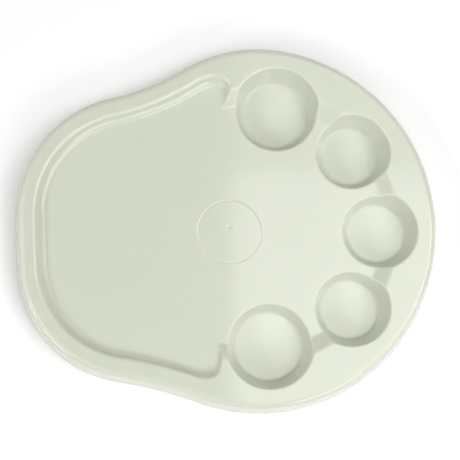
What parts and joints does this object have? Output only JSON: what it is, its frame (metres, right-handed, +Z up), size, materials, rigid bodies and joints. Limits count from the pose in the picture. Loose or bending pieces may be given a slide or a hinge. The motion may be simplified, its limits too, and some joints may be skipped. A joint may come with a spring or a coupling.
{
  "type": "mixing palette",
  "caption": "One-piece moulded plastic paint mixing palette: a large sunken mixing area inside a raised rim, with an arc of round paint wells along one end.",
  "frame": {"origin": "middle of the footprint, on the table that the palette stands on", "axes": "+X along the length from the mixing area to the arc of wells, +Y across the palette, +Z up out of the wells"},
  "size_m": [0.2865, 0.2498, 0.019],
  "materials": {
    "palette_plastic": "glossy warm off-white injection-moulded plastic, polished on top, slightly satin underneath"
  },
  "bodies": {
    "root": {"palette_moulding": "palette_plastic"}
  },
  "joints": []
}
